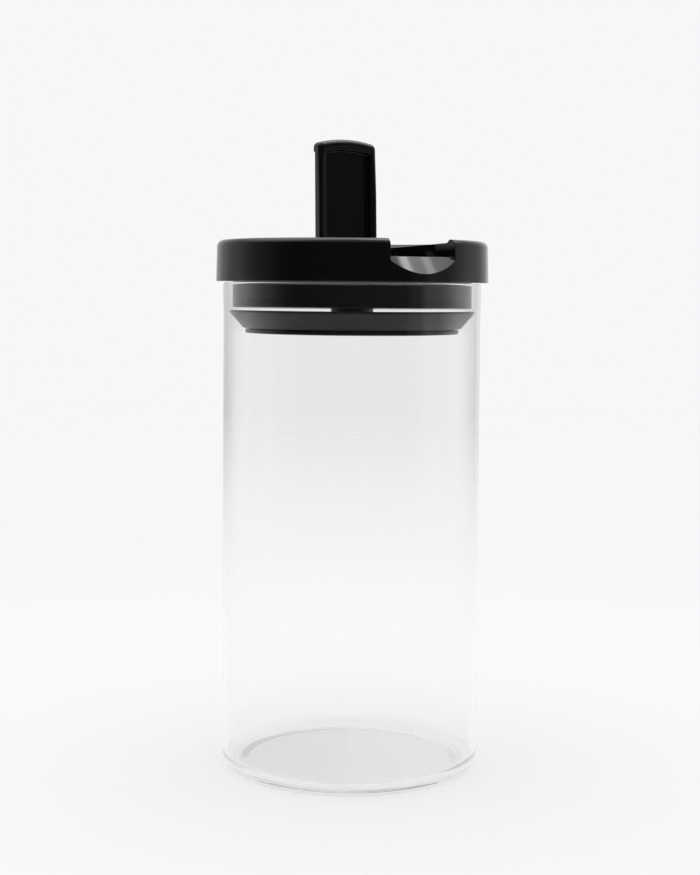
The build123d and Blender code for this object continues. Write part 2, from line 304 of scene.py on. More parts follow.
def join(parts: Iterable[Mesh]) -> Mesh:
    """Put several meshes in one, freeing them."""
    whole = bmesh.new()
    for part in parts:
        mesh = bpy.data.meshes.new("part")
        bmesh.ops.recalc_face_normals(part, faces=part.faces)
        part.to_mesh(mesh)
        part.free()
        whole.from_mesh(mesh)
        bpy.data.meshes.remove(mesh)
    return whole


# Shader nodes


@dataclass(frozen=True)
class Graph:
    """Adds nodes to one shader tree. An input takes a socket to link, or a plain value."""

    tree: bpy.types.NodeTree

    def feed(self, target: Socket, value: object) -> None:
        """Link a socket to an input, or set the input's value."""
        if isinstance(value, Socket):
            self.tree.links.new(value, target)
        else:
            target.default_value = value

    def node(self, kind: str, **values: object) -> Node:
        """Add a node and feed its inputs by name."""
        made = self.tree.nodes.new(kind)
        for name, value in values.items():
            self.feed(made.inputs[name.replace("_", " ")], value)
        return made

    def sum(self, operation: str, *values: Socket | float) -> Socket:
        """Combine sockets or numbers with one sum."""
        made = self.node("ShaderNodeMath")
        made.operation = operation
        for target, value in zip(made.inputs, values):
            self.feed(target, value)
        return made.outputs["Value"]

    def measure(self, operation: str, *vectors: Socket | Vector) -> Socket:
        """Turn one or two vectors into a number."""
        made = self.node("ShaderNodeVectorMath")
        made.operation = operation
        for target, vector in zip(made.inputs, vectors):
            self.feed(target, vector)
        return made.outputs["Value"]

    def remap(self, source: Socket, start: float, end: float, to: Point = (0.0, 1.0)) -> Node:
        """Map the range from start to end onto another range, held at its ends."""
        return self.node(
            "ShaderNodeMapRange", Value=source, From_Min=start, From_Max=end,
            To_Min=to[0], To_Max=to[1],
        )

    def noise(self, scale: float, detail: float = 3.0) -> Socket:
        """Noise on the object's own coordinates.

        Args:
            scale: Waves per metre.
            detail: How many finer layers it has.

        Returns:
            The noise's level.
        """
        place = self.node("ShaderNodeTexCoord").outputs["Object"]
        made = self.node("ShaderNodeTexNoise", Vector=place, Scale=scale, Detail=detail)
        return made.outputs["Fac"]

    def spread(self, noise: Socket, to: Point) -> Socket:
        """Spread the middle of a noise between two values."""
        return self.remap(noise, *NOISE_RANGE, to).outputs["Result"]

    def blend(self, factor: object, first: object, second: object, how: str = "MIX") -> Socket:
        """Mix two colours.

        Args:
            factor: Share of the second, as a socket or a number.
            first: A socket, or a colour with its alpha.
            second: The same.
            how: Blender's name for the kind of mix.

        Returns:
            The mixed colour.
        """
        made = self.node("ShaderNodeMix")
        made.data_type = "RGBA"
        made.blend_type = how
        self.feed(made.inputs["Factor"], factor)
        self.feed(made.inputs[6], first)
        self.feed(made.inputs[7], second)
        return made.outputs[2]

    def ramp(self, factor: Socket, stops: Sequence[Point]) -> Socket:
        """A grey ramp from stops of (place, level)."""
        made = self.node("ShaderNodeValToRGB", Fac=factor)
        elements = made.color_ramp.elements
        for number, (place, level) in enumerate(stops):
            stop = elements[number] if number < 2 else elements.new(place)
            stop.position = place
            stop.color = grey(level)
        return made.outputs["Color"]

    def bump(self, height: Socket, shader: Node, strength: float, distance: float) -> Node:
        """Raise a shader's surface by a height socket, and return the bump node."""
        made = self.node(
            "ShaderNodeBump", Strength=strength, Distance=distance, Height=height
        )
        self.feed(shader.inputs["Normal"], made.outputs["Normal"])
        return made

    def surface(self, factor: Socket, first: Node, second: Node) -> None:
        """Mix two shaders as the material's surface."""
        mix = self.node("ShaderNodeMixShader", Fac=factor)
        self.feed(mix.inputs[1], first.outputs["BSDF"])
        self.feed(mix.inputs[2], second.outputs["BSDF"])
        self.feed(self.tree.nodes["Material Output"].inputs["Surface"], mix.outputs["Shader"])


def grey(level: float) -> tuple[float, float, float, float]:
    """A grey colour with full alpha."""
    return (level, level, level, 1)


# Finishes


@dataclass(frozen=True)
class Finish:
    """A finish, which its method material builds under its name."""

    name: str

    def start(self) -> tuple[bpy.types.Material, Graph, Node]:
        """Make the material.

        Returns:
            The material, the graph of its nodes and its main shader.
        """
        material = bpy.data.materials.new(self.name)
        material.use_nodes = True
        tree = material.node_tree
        return material, Graph(tree), tree.nodes["Principled BSDF"]


@dataclass(frozen=True)
class ClearGlass(Finish):
    """Clear pressed glass with a faint waviness and hardly any haze."""

    tint: Colour = (0.995, 0.998, 0.997)
    index: float = 1.5
    waviness: float = 0.012
    wave_scale: float = 30.0
    wave_height: float = 0.0004
    haze: float = 0.004
    haze_scale: float = 22.0
    let_through: float = 0.96
    last_bounce: float = 3.5

    def material(self) -> bpy.types.Material:
        """Build the material."""
        material, graph, shader = self.start()
        shader.inputs["Base Color"].default_value = (*self.tint, 1)
        shader.inputs["Transmission Weight"].default_value = 1.0
        shader.inputs["IOR"].default_value = self.index
        graph.bump(graph.noise(self.wave_scale, 1.0), shader, self.waviness, self.wave_height)
        haze = graph.spread(graph.noise(self.haze_scale), (0.0, self.haze))
        graph.feed(shader.inputs["Roughness"], haze)
        through = graph.node("ShaderNodeBsdfTransparent", Color=grey(self.let_through))
        path = graph.node("ShaderNodeLightPath").outputs
        deep = graph.sum("GREATER_THAN", path["Ray Depth"], self.last_bounce)
        lamp = graph.sum("MAXIMUM", path["Is Shadow Ray"], path["Is Diffuse Ray"])
        graph.surface(graph.sum("MAXIMUM", lamp, deep), shader, through)
        return material


@dataclass(frozen=True)
class MouldedPlastic(Finish):
    """Moulded plastic with fine polish marks and a slow ripple."""

    colour: Colour
    roughness: Point
    ripple: float
    grain: float = 2200.0
    index: float = 1.5
    mottle: float = 1.25
    mottle_scale: float = 60.0
    ripple_scale: float = 90.0
    ripple_height: float = 0.0003
    edge: float = 0.0004
    edge_samples: int = 6

    def material(self) -> bpy.types.Material:
        """Build the material."""
        material, graph, shader = self.start()
        shader.inputs["IOR"].default_value = self.index
        pale = (*[part * self.mottle for part in self.colour], 1)
        tone = graph.blend(graph.noise(self.mottle_scale), (*self.colour, 1), pale)
        graph.feed(shader.inputs["Base Color"], tone)
        marks = graph.spread(graph.noise(self.grain, 2.0), self.roughness)
        graph.feed(shader.inputs["Roughness"], marks)
        ripple = graph.noise(self.ripple_scale, 2.0)
        waves = graph.bump(ripple, shader, self.ripple, self.ripple_height)
        edges = graph.node("ShaderNodeBevel", Radius=self.edge)
        edges.samples = self.edge_samples
        graph.feed(waves.inputs["Normal"], edges.outputs["Normal"])
        return material


@dataclass(frozen=True)
class BareSteel(Finish):
    """Plain steel with fine drawing marks."""

    colour: Colour = (0.56, 0.56, 0.57)
    roughness: Point = (0.2, 0.38)
    grain: float = 1500.0
    mark_strength: float = 0.2
    mark_height: float = 0.00003

    def material(self) -> bpy.types.Material:
        """Build the material."""
        material, graph, shader = self.start()
        shader.inputs["Metallic"].default_value = 1.0
        shader.inputs["Base Color"].default_value = (*self.colour, 1)
        marks = graph.noise(self.grain, 4.0)
        graph.feed(shader.inputs["Roughness"], graph.spread(marks, self.roughness))
        graph.bump(marks, shader, self.mark_strength, self.mark_height)
        return material


@dataclass(frozen=True)
class PaleFloor(Finish):
    """Matt floor with painted light: it is painted lighter round its middle to lift the shade that
    the canister's lid casts there, takes the backdrop's tone away from the middle and fades out. In
    metres.
    """

    # Painted light: the radius and the raised tone where the floor is painted lighter to cancel the
    # canister's shade
    middle: Point = (0.05, 0.98)
    away: Point = (0.6, 0.925)
    fade: Point = (0.45, 1.9)
    roughness: float = 0.9

    def material(self) -> bpy.types.Material:
        """Build the material."""
        material, graph, shader = self.start()
        shader.inputs["Roughness"].default_value = self.roughness
        shader.inputs["Specular IOR Level"].default_value = 0.0
        place = graph.node("ShaderNodeTexCoord").outputs["Object"]
        length = graph.measure("LENGTH", place)
        # Painted light: the floor's colour rises towards the middle to offset the shade under and
        # round the canister
        (start, painted_bright), (end, dim) = self.middle, self.away
        tone = graph.remap(length, start, end, (painted_bright, dim))
        tone.interpolation_type = "SMOOTHSTEP"
        graph.feed(shader.inputs["Base Color"], tone.outputs["Result"])
        clear = graph.node("ShaderNodeBsdfTransparent")
        graph.surface(graph.remap(length, *self.fade).outputs["Result"], shader, clear)
        return material


def finishes() -> dict[Slot, bpy.types.Material]:
    """Build every finish once."""
    black = MouldedPlastic(
        "gloss_black_plastic", colour=(0.0022, 0.0022, 0.0024), roughness=(0.05, 0.09), ripple=0.03
    )
    silicone = MouldedPlastic(
        "satin_silicone", colour=(0.0035, 0.0035, 0.0038), roughness=(0.3, 0.4), ripple=0.1,
        grain=5200.0, index=1.37,
    )
    return {
        Slot.GLASS: ClearGlass("clear_glass").material(),
        Slot.BLACK: black.material(),
        Slot.SILICONE: silicone.material(),
        Slot.STEEL: BareSteel("bare_steel").material(),
    }


@dataclass
class Workshop:
    """Dresses finished meshes and hands them to the frame."""

    finishes: dict[Slot, bpy.types.Material]

    def place(
        self, piece: bpy.types.Object, body: Body, slot: Slot, *nodes: str
    ) -> bpy.types.Object:
        """Give a piece its finish, its body and the nodes that it stands for.

        Args:
            piece: The finished object.
            body: The body that it rides on.
            slot: The record's slot for its finish.
            nodes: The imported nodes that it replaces.

        Returns:
            The piece.
        """
        piece.data.materials.clear()
        piece.data.materials.append(self.finishes[slot])
        even = piece.modifiers.new("even_normals", "WEIGHTED_NORMAL")
        even.keep_sharp = True
        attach(piece, body.value)
        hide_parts(*nodes)
        log.info("%s: %d faces, rides on %s", piece.name, len(piece.data.polygons), body.value)
        return piece


# The jar


@dataclass
class Jar:
    """Thin-walled glass with a rounded rim, a soft heel and a raised punt. Sizes in mm."""

    shop: Workshop
    height: float = 190.4
    rim_radius: float = 51.2
    foot_wall_radius: float = 50.4
    bore_radius: float = 49.0
    bore_foot_radius: float = 48.3
    heel: float = 5.0
    inner_heel: float = 4.5
    foot_width: float = 1.2
    floor: float = 3.0
    floor_middle: float = 30.0
    punt: float = 0.8
    punt_edge: tuple[Point, ...] = ((39.0, 0.78), (40.6, 0.6), (42.6, 0.06))
    wall: tuple[Point, ...] = ((50.5, 0.2), (50.7, 0.6))
    neck: tuple[Point, ...] = ((50.9, 14.0), (50.93, 11.0), (51.1, 7.5), (51.18, 5.5))
    bore: tuple[Point, ...] = ((49.0, 0.5), (48.5, 0.25))
    bore_top: float = 20.0

    def outline(self) -> list[Point]:
        """The wall's closed outline, from the axis round the outside and back.

        The wall and the bore go by shares of the height, the neck by the depth below the rim.
        """
        half = (self.rim_radius - self.bore_radius) / 2
        rim = (self.rim_radius - half, self.height - half)
        foot = self.foot_wall_radius - self.heel
        inner = (self.bore_foot_radius - self.inner_heel, self.floor + self.inner_heel)
        return [
            (0.0, self.punt),
            (self.floor_middle, self.punt),
            *self.punt_edge,
            (foot - self.foot_width, 0.0),
            *arc((foot, self.heel), self.heel, -90, 0, 16),
            *[(radius, self.height * share) for radius, share in self.wall],
            *[(radius, self.height - depth) for radius, depth in self.neck],
            *arc(rim, half, 0, 180, 16),
            (self.bore_radius, self.height - self.bore_top),
            *[(radius, self.height * share) for radius, share in self.bore],
            *arc(inner, self.inner_heel, 0, -90, 14),
            (self.floor_middle, self.floor),
            (0.0, self.floor),
        ]

    def build(self) -> None:
        """Make the jar."""
        piece = to_object(spin(self.outline()), "jar_glass")
        self.shop.place(piece, Body.JAR, Slot.GLASS, "glass_jar")


# The lid


@dataclass
class Lid:
    """The black cap and the plug collar below it.

    Sizes in mm, heights from the skirt's lower edge, slopes in degrees.
    """

    shop: Workshop
    base_z: float = 190.7
    radius: float = 54.0
    height: float = 16.3
    draft: float = 1.0
    wall: float = 2.4
    skirt_edge: float = 0.2
    skirt_middle: float = 7.0
    crest_round: float = 2.6
    crest_inner: float = 50.3
    crest_edge: float = 0.5
    crest_slope: float = 47.0
    deck_fillet: float = 0.6
    deck_radius: float = 48.4
    deck_slope: float = 2.0
    deck_flat: float = 12.0
    deck_blend: float = 0.6
    deck_low: float = 13.75
    deck_edge: float = 15.05
    channel_half: float = 14.15
    channel_back: float = 7.4
    channel_floor: float = 9.6
    channel_corner: float = 1.5
    channel_ends: Point = (-80.0, 30.0)
    pocket_half: float = 10.3
    pocket_front: float = -9.0
    pocket_corner: float = 1.0
    pocket_overlap: float = 1.0
    seat: float = 1.15
    scoop_radius: float = 50.0
    scoop_slope: float = 46.0
    scoop_low: float = 3.0
    scoop_length: float = 200.0
    scoop_steps: int = 512
    scoop_span: Point = (-70.0, -43.0)
    scoop_overlap: float = 0.1
    collar_radius: float = 47.5
    collar_wall: float = 2.2
    collar_low: float = -9.7
    collar_floor: float = 2.0
    collar_edge: float = 0.3
    collar_brim: float = 3.0
    flange_radius: float = 51.3
    flange_height: float = 2.0
    guide_radius: float = 8.6

    def cap_outline(self) -> list[Point]:
        """The cap as a filled disc with its raised rim."""
        lean = math.tan(math.radians(self.draft))
        shoulder = self.height - self.crest_round
        top = self.radius - shoulder * lean
        edge, crest, fillet = self.skirt_edge, self.crest_edge, self.deck_fillet
        bend = (self.deck_radius + 0.1, self.deck_edge + fillet)
        return [
            (0.0, edge),
            (self.radius - self.wall, edge),
            (self.radius - self.wall, 0.0),
            *arc((self.radius - edge, edge), edge, -90, 0, 4),
            (self.radius - self.skirt_middle * lean, self.skirt_middle),
            *arc((top - self.crest_round, shoulder), self.crest_round, self.draft, 90, 12),
            *arc((self.crest_inner, self.height - crest), crest, 90, 90 + self.crest_slope, 4),
            *arc(bend, fillet, self.crest_slope - 90, self.deck_slope - 90, 4),
            (self.deck_radius - 1.0, self.deck_edge - 0.03),
            (self.deck_flat + self.deck_blend, self.deck_low + 0.02),
            (self.deck_flat - self.deck_blend, self.deck_low),
            (0.0, self.deck_low),
        ]

    def scoop_tool(self) -> Mesh:
        """The leaning cylinder for the finger scoop, kept between the channel's sides."""
        turn = math.radians(self.scoop_slope)
        centre_y = -self.radius - self.scoop_radius * math.sin(turn)
        centre_z = self.base_z + self.scoop_low + self.scoop_radius * math.cos(turn)
        bm = bmesh.new()
        bmesh.ops.create_cone(
            bm, cap_ends=True, segments=self.scoop_steps, radius1=self.scoop_radius * MM,
            radius2=self.scoop_radius * MM, depth=self.scoop_length * MM,
        )
        place = Matrix.Translation((0, centre_y * MM, centre_z * MM))
        lean = Matrix.Rotation(math.radians(self.scoop_slope - 90), 4, "X")
        bmesh.ops.transform(bm, matrix=place @ lean, verts=bm.verts)
        front, back = self.scoop_span
        top = self.base_z + self.channel_floor + self.scoop_overlap
        limit = brick((-self.channel_half, front, self.base_z), (self.channel_half, back, top))
        return carve(bm, [limit], "scoop", Cut.WITHIN)

    def build_cap(self) -> None:
        """Make the cap and cut its channel, pocket and scoop."""
        z = self.base_z
        half, back = self.channel_half, self.channel_back
        front, top = self.channel_ends
        channel = brick((-half, front, z + self.channel_floor), (half, back, z + top))
        corners = [edge for edge in upright_edges(channel) if lies_at(edge, back)]
        bevel(channel, corners, self.channel_corner, 6)
        pocket = brick(
            (-self.pocket_half, self.pocket_front, z + self.seat),
            (self.pocket_half, back, z + self.channel_floor + self.pocket_overlap),
            self.pocket_corner,
        )
        cap = carve(spin(self.cap_outline(), z), [channel, pocket, self.scoop_tool()], "cap")
        piece = to_object(cap, "lid_cap_shell")
        self.shop.place(piece, Body.LID, Slot.BLACK, "lid_cap")

    def build_collar(self) -> None:
        """Make the plug collar with its flange and the guide for the stem."""
        outer, low, edge = self.collar_radius, self.collar_low, self.collar_edge
        outline = [
            (self.guide_radius, low + edge),
            (self.guide_radius + edge, low),
            (outer - self.collar_brim, low),
            *arc((outer - edge, low + edge), edge, -90, 0, 5),
            (outer, 0.0),
            (self.flange_radius, 0.0),
            (self.flange_radius, self.flange_height),
            (outer - self.collar_wall, self.flange_height),
            (outer - self.collar_wall, low + self.collar_floor),
            (self.guide_radius, low + self.collar_floor),
        ]
        piece = to_object(spin(outline, self.base_z), "lid_plug_collar")
        self.shop.place(piece, Body.LID, Slot.BLACK, "plug_collar")

    def build(self) -> None:
        """Make both pieces."""
        self.build_cap()
        self.build_collar()


# The plunger


@dataclass
class Plunger:
    """Stem, inner plate and sealing ring. Sizes in mm, heights from the skirt's lower edge."""

    shop: Workshop
    base_z: float = 190.7
    pin: float = 6.6
    stem_radius: float = 8.5
    stem_low: float = -18.5
    stem_edge: float = 0.4
    stem_steps: int = 96
    shoulder: float = -7.1
    tongue_x: float = 4.8
    tongue_y: float = 2.9
    tongue_root: float = 2.0
    tongue_edge: float = 0.3
    plate_radius: float = 42.4
    plate_low: float = -20.1
    plate_edge: float = 0.35
    plate_brim: float = 4.0
    recess_radius: float = 4.4
    recess_depth: float = 3.0
    recess_edge: float = 0.3
    step_outer: float = 33.9
    step_inner: float = 32.3
    step_height: float = 2.6
    ring_top: float = -11.0
    ring_top_radius: float = 48.6
    ring_low_radius: float = 43.4
    ring_bore: float = 34.0
    ring_flare: float = 37.0
    ring_seat: float = 40.6
    ring_slit: float = 0.4
    ring_lip: float = 45.0
    groove: Point = (38.0, 40.0)
    groove_floor: float = 3.4
    ring_inner: float = 32.4
    ring_step: float = 3.2

    def build_stem(self) -> None:
        """Make the round stem with its tongue."""
        edge = self.stem_edge
        post = spin(
            [
                (0.0, self.stem_low),
                (self.stem_radius, self.stem_low),
                *arc((self.stem_radius - edge, self.shoulder - edge), edge, 0, 90, 4),
                (0.0, self.shoulder),
            ],
            self.base_z, self.stem_steps,
        )
        rise = self.pin - self.shoulder + self.tongue_root
        outline = [
            (-self.tongue_y, -rise),
            (self.tongue_y, -rise),
            *arc((0.0, 0.0), self.tongue_y, 0, 180, 24),
        ]
        turn = Matrix.Translation((0, 0, self.base_z + self.pin)) @ ACROSS
        tongue = slab(outline, -self.tongue_x, self.tongue_x, turn)
        bevel(tongue, sharp_edges(tongue), self.tongue_edge, 3)
        piece = to_object(join([post, tongue]), "plunger_stem")
        self.shop.place(piece, Body.PLUNGER, Slot.BLACK, "stem")

    def build_plate(self) -> None:
        """Make the inner plate, with the recess for its screw and the step for the ring."""
        top, low, edge = self.stem_low, self.plate_low, self.plate_edge
        outline = [
            (0.0, low + self.recess_depth),
            (self.recess_radius, low + self.recess_depth),
            (self.recess_radius, low + self.recess_edge),
            (self.recess_radius + self.recess_edge, low),
            (self.plate_radius - self.plate_brim, low),
            *arc((self.plate_radius - edge, low + edge), edge, -90, 0, 5),
            *arc((self.plate_radius - edge, top - edge), edge, 0, 90, 5),
            (self.step_outer, top),
            (self.step_outer, top + self.step_height),
            (self.step_inner, top + self.step_height),
            (self.step_inner, top),
            (0.0, top),
        ]
        piece = to_object(spin(outline, self.base_z), "plunger_inner_plate")
        self.shop.place(piece, Body.PLUNGER, Slot.BLACK, "inner_plate")

    def build_ring(self) -> None:
        """Make the flared sealing ring."""
        low, top = self.stem_low, self.ring_top
        slit = low + self.ring_slit
        groove_in, groove_out = self.groove
        lowest, widest, crown = 0.3, 0.25, 0.2
        foot = (self.ring_low_radius - lowest, slit + lowest)
        flank = (self.ring_top_radius - widest, top - 0.75)
        crest = (self.ring_top_radius - crown, top - crown)
        outline = [
            (self.ring_bore, low),
            (self.ring_seat, low),
            (self.ring_seat, slit),
            (self.ring_low_radius - 2.0, slit),
            *arc(foot, lowest, -90, -self.ring_flare, 4),
            *arc(flank, widest, -self.ring_flare, 0, 3),
            *arc(crest, crown, 0, 90, 4),
            (self.ring_lip, top),
            (groove_out, slit + self.groove_floor),
            (groove_in, slit + self.groove_floor),
            (groove_in, top),
            (self.ring_inner, top),
            (self.ring_inner, low + self.ring_step),
            (self.ring_bore, low + self.ring_step),
        ]
        piece = to_object(spin(outline, self.base_z), "plunger_sealing_ring")
        self.shop.place(piece, Body.PLUNGER, Slot.SILICONE, "sealing_ring")

    def build(self) -> None:
        """Make the three pieces."""
        self.build_stem()
        self.build_plate()
        self.build_ring()


# The lever


@dataclass
class Lever:
    """The lever, which stands and leans back a little. Sizes in mm from its pin."""

    shop: Workshop
    pin_z: float = 197.3
    lean: float = 1.6
    width: float = 26.5
    back: float = 6.7
    thickness: float = 4.3
    tip_radius: float = 50.7
    blade_start: float = 4.6
    corner: float = 2.3
    side_steps: int = 16
    side_round: float = 0.9
    tip_round: float = 2.2
    round_start: float = 31.0
    back_round: float = 0.5
    lip_width: float = 3.4
    lip_height: float = 1.1
    lip_round: float = 0.6
    lip_root: float = 1.5
    lip_clear: float = 5.0
    flat_angle: float = 1.0
    lip_reach: float = 12.0
    lip_sides: int = 120
    tray_rim: float = 1.5
    tray_end: float = 2.75
    tray_start: float = 9.5
    tray_corner: float = 2.0
    band_width: float = 1.5
    band_depth: float = 0.27
    tray_depth: float = 2.9
    tray_inner_corner: float = 0.9
    tray_draft: float = 4.0
    tray_round: float = 0.45
    crisp_angle: float = 8.0
    cam_reach: float = 5.4
    cam_rise: float = 1.0
    cam_degrees: tuple[int, int, int] = (-13, 103, 3)
    cheek_inner: float = 5.1
    cheek_outer: float = 9.3
    cheek_edge: float = 0.35
    web_front: float = 3.3
    web_low: float = -1.0
    web_top: float = 8.6
    web_overlap: float = 1.5
    pin_radius: float = 1.6
    pin_half: float = 8.9
    pin_edge: float = 0.3
    pin_steps: int = 48

    @property
    def front(self) -> float:
        """Depth of the blade's front face."""
        return self.back - self.thickness

    def blade_outline(
        self, inset: float, low: float, end_inset: float, corner: float
    ) -> list[Point]:
        """A rounded strip with an arched end.

        Args:
            inset: How far its sides lie inside the blade's sides.
            low: Where it starts.
            end_inset: How far its end lies inside the blade's tip.
            corner: Radius of the two end corners.

        Returns:
            The outline's points, counter-clockwise.
        """
        half = self.width / 2 - inset
        tip = self.tip_radius - end_inset
        reach = tip - corner
        side = half - corner
        centre_z = math.sqrt(reach * reach - side * side)
        turn = math.degrees(math.asin(side / reach))
        right = arc((side, centre_z), corner, 0, 90 - turn, 10)
        crown = arc((0.0, 0.0), tip, 90 - turn, 90 + turn, 48)
        left = arc((-side, centre_z), corner, 90 + turn, 180, 10)
        steps = self.side_steps
        rises = [low + (centre_z - low) * i / steps for i in range(steps)]
        up = [(half, rise) for rise in rises]
        down = [(-half, rise) for rise in rises[::-1]]
        return [*up, *right, *crown[1:-1], *left, *down]

    def about_pin(self) -> Matrix:
        """Puts what was made about the pin in its leaning place."""
        lean = Matrix.Rotation(-math.radians(self.lean), 4, "X")
        return Matrix.Translation((0, 0, self.pin_z)) @ lean

    def flat(
        self, outline: list[Point], low: float, high: float, far: list[Point] | None = None
    ) -> Mesh:
        """Solid between two depths, its outlines standing upright about the pin."""
        return slab(outline, low, high, UPRIGHT, far)

    def lip(self) -> Mesh:
        """The rounded bead along the tip of the blade's back."""
        inner = self.tip_radius - self.lip_width
        top = self.back + self.lip_height
        outline = self.blade_outline(0, inner - self.lip_reach, 0, self.corner)
        bead = self.flat(outline, self.back - self.lip_root, top)
        last = 360 - 360 / self.lip_sides
        circle = arc((0.0, 0.0), inner, 0, last, self.lip_sides - 1)
        hollow = self.flat(circle, self.back - 2 * self.lip_root, self.back + self.lip_clear)
        bead = carve(bead, [hollow], "lip")
        limit = math.radians(self.flat_angle)
        bmesh.ops.dissolve_limit(bead, angle_limit=limit, verts=bead.verts, edges=bead.edges)
        bevel(bead, edges_at(bead, top), self.lip_round, 6)
        return bead

    def tray(self) -> list[Mesh]:
        """The tools for the tray: its shallow band, then its hollow."""

        def strip(grown: float, corner: float) -> list[Point]:
            """The tray's outline, moved inward all round."""
            return self.blade_outline(
                self.tray_rim + grown, self.tray_start + grown, self.tray_end + grown, corner
            )

        floor_y = self.front + self.tray_depth
        high = self.band_depth / 2
        outer = strip(-self.band_width / self.band_depth * high, self.tray_corner)
        inner = strip(self.band_width, self.tray_inner_corner)
        narrow = math.tan(math.radians(self.tray_draft)) * self.tray_depth
        floor = strip(self.band_width + narrow, self.tray_inner_corner)
        shallow = self.flat(outer, self.front - high, self.front + self.band_depth, inner)
        hollow = self.flat(inner, self.front, floor_y, floor)
        bevel(hollow, edges_at(hollow, floor_y), self.tray_round, 6, clamp=False)
        return [shallow, hollow]

    def blade(self) -> Mesh:
        """The flat blade with its lip and the tray in its front."""
        outline = self.blade_outline(0, self.blade_start, 0, self.corner)
        body = self.round_front(self.flat(outline, self.front, self.back))
        body = carve(body, [self.lip()], "blade", Cut.ONTO)
        body = carve(body, self.tray(), "blade")
        half = self.width / 2 * MM - CLOSE
        rear = edges_at(body, self.back)
        sides = [edge for edge in rear if all(abs(vert.co.x) > half for vert in edge.verts)]
        bevel(body, sides, self.back_round, 4)
        for edge in edges_at(body, self.front, self.crisp_angle):
            edge.seam = True
        return body

    def round_front(self, body: Mesh) -> Mesh:
        """Round the front's outer edge, more at the tip than along the sides.

        Args:
            body: The blade, which is freed.

        Returns:
            The rounded blade.
        """
        share = body.edges.layers.float.new("bevel_weight_edge")
        span = self.tip_radius - self.corner - self.round_start
        for edge in edges_at(body, self.front):
            height = (edge.verts[0].co.z + edge.verts[1].co.z) / 2 / MM
            grown = min(max((height - self.round_start) / span, 0.0), 1.0)
            width = self.side_round + grown * (self.tip_round - self.side_round)
            edge[share] = width / self.tip_round
        piece = to_object(body, "blade_front")
        rounding = piece.modifiers.new("rounding", "BEVEL")
        rounding.limit_method = "WEIGHT"
        rounding.width = self.tip_round * MM
        rounding.segments = 8
        rounding.use_clamp_overlap = False
        return applied(piece)

    def cheek(self, low: float, high: float) -> Mesh:
        """One cam cheek between two places across the lever, its cam an involute of a circle."""
        rate = self.cam_rise / math.radians(90 + self.lean)
        outline = []
        for degrees in range(*self.cam_degrees):
            turn = math.radians(degrees)
            reach = self.cam_reach + rate * (turn + math.radians(self.lean))
            outline.append((
                -reach * math.sin(turn) - rate * math.cos(turn),
                -reach * math.cos(turn) + rate * math.sin(turn),
            ))
        outline += [
            (self.front + 0.5, self.web_top),
            (self.back - 0.6, self.web_top),
            (self.back - 0.2, self.web_low),
        ]
        solid = slab(outline, low, high, ACROSS)
        bevel(solid, sharp_edges(solid), self.cheek_edge, 3)
        return solid

    def web(self) -> Mesh:
        """The strip that joins the cheeks behind the pin."""
        side, top = self.cheek_outer, self.blade_start + self.web_overlap
        return brick((-side, self.web_front, self.web_low), (side, self.back, top))

    def build(self) -> None:
        """Make the lever and its steel pin."""
        cheeks = [
            self.cheek(-self.cheek_outer, -self.cheek_inner),
            self.cheek(self.cheek_inner, self.cheek_outer),
        ]
        whole = join([self.blade(), self.web(), *cheeks])
        lean = Matrix.Scale(MM, 4) @ self.about_pin() @ Matrix.Scale(1 / MM, 4)
        bmesh.ops.transform(whole, matrix=lean, verts=whole.verts)
        self.shop.place(to_object(whole, "lever_handle"), Body.LEVER, Slot.BLACK, "lever")
        half, edge = self.pin_half, self.pin_edge
        inner = self.pin_radius - edge
        outline = [
            (0.0, -half),
            (inner, -half),
            *arc((inner, edge - half), edge, -90, 0, 3),
            *arc((inner, half - edge), edge, 0, 90, 3),
            (0.0, half),
        ]
        rod = spin(outline, 0.0, self.pin_steps)
        side = Matrix.Rotation(math.radians(90), 4, "Y")
        place = Matrix.Translation((0, 0, self.pin_z * MM)) @ side
        bmesh.ops.transform(rod, matrix=place, verts=rod.verts)
        self.shop.place(to_object(rod, "lever_steel_pin"), Body.PLUNGER, Slot.STEEL, "lever_pin")


# Spring and screws


@dataclass
class Spring:
    """The return spring, which the stem's shoulder squeezes as it rises. Sizes in mm."""

    shop: Workshop
    wire: float = 0.5
    wire_sides: int = 12
    coil: float = 7.1
    turns: int = 3
    turn_steps: int = 48
    fixed_end: float = 190.05
    travel: float = 1.0

    def build(self) -> None:
        """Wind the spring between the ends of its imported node."""
        low, high = (corner[2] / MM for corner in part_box("return_spring"))
        steps = self.turns * self.turn_steps
        rise = (high - low - 2 * self.wire) / steps * MM
        start = Matrix.Translation((self.coil * MM, 0, (low + self.wire) * MM))
        stand = start @ Matrix.Rotation(math.pi / 2, 4, "X")
        bm = bmesh.new()
        bmesh.ops.create_circle(
            bm, cap_ends=False, segments=self.wire_sides, radius=self.wire * MM, matrix=stand
        )
        bmesh.ops.spin(
            bm, geom=[*bm.verts, *bm.edges], cent=(0, 0, 0), axis=(0, 0, 1), dvec=(0, 0, rise),
            angle=self.turns * math.tau, steps=steps,
        )
        bmesh.ops.holes_fill(bm, edges=[edge for edge in bm.edges if edge.is_boundary])
        piece = to_object(bm, "return_spring_coil")
        self.shop.place(piece, Body.LID, Slot.STEEL, "return_spring")
        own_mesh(piece)


@dataclass
class Hardware:
    """Screws that stay as packed and get their finish."""

    shop: Workshop
    nodes: tuple[str, ...] = ("collar_screws", "plate_screw")

    def build(self) -> None:
        """Give each node its finish."""
        for name in self.nodes:
            node = bpy.data.objects[name]
            for slot in node.material_slots:
                slot.material = self.shop.finishes[Slot.STEEL]
            log.info("%s keeps its packed shape", name)


# Studio


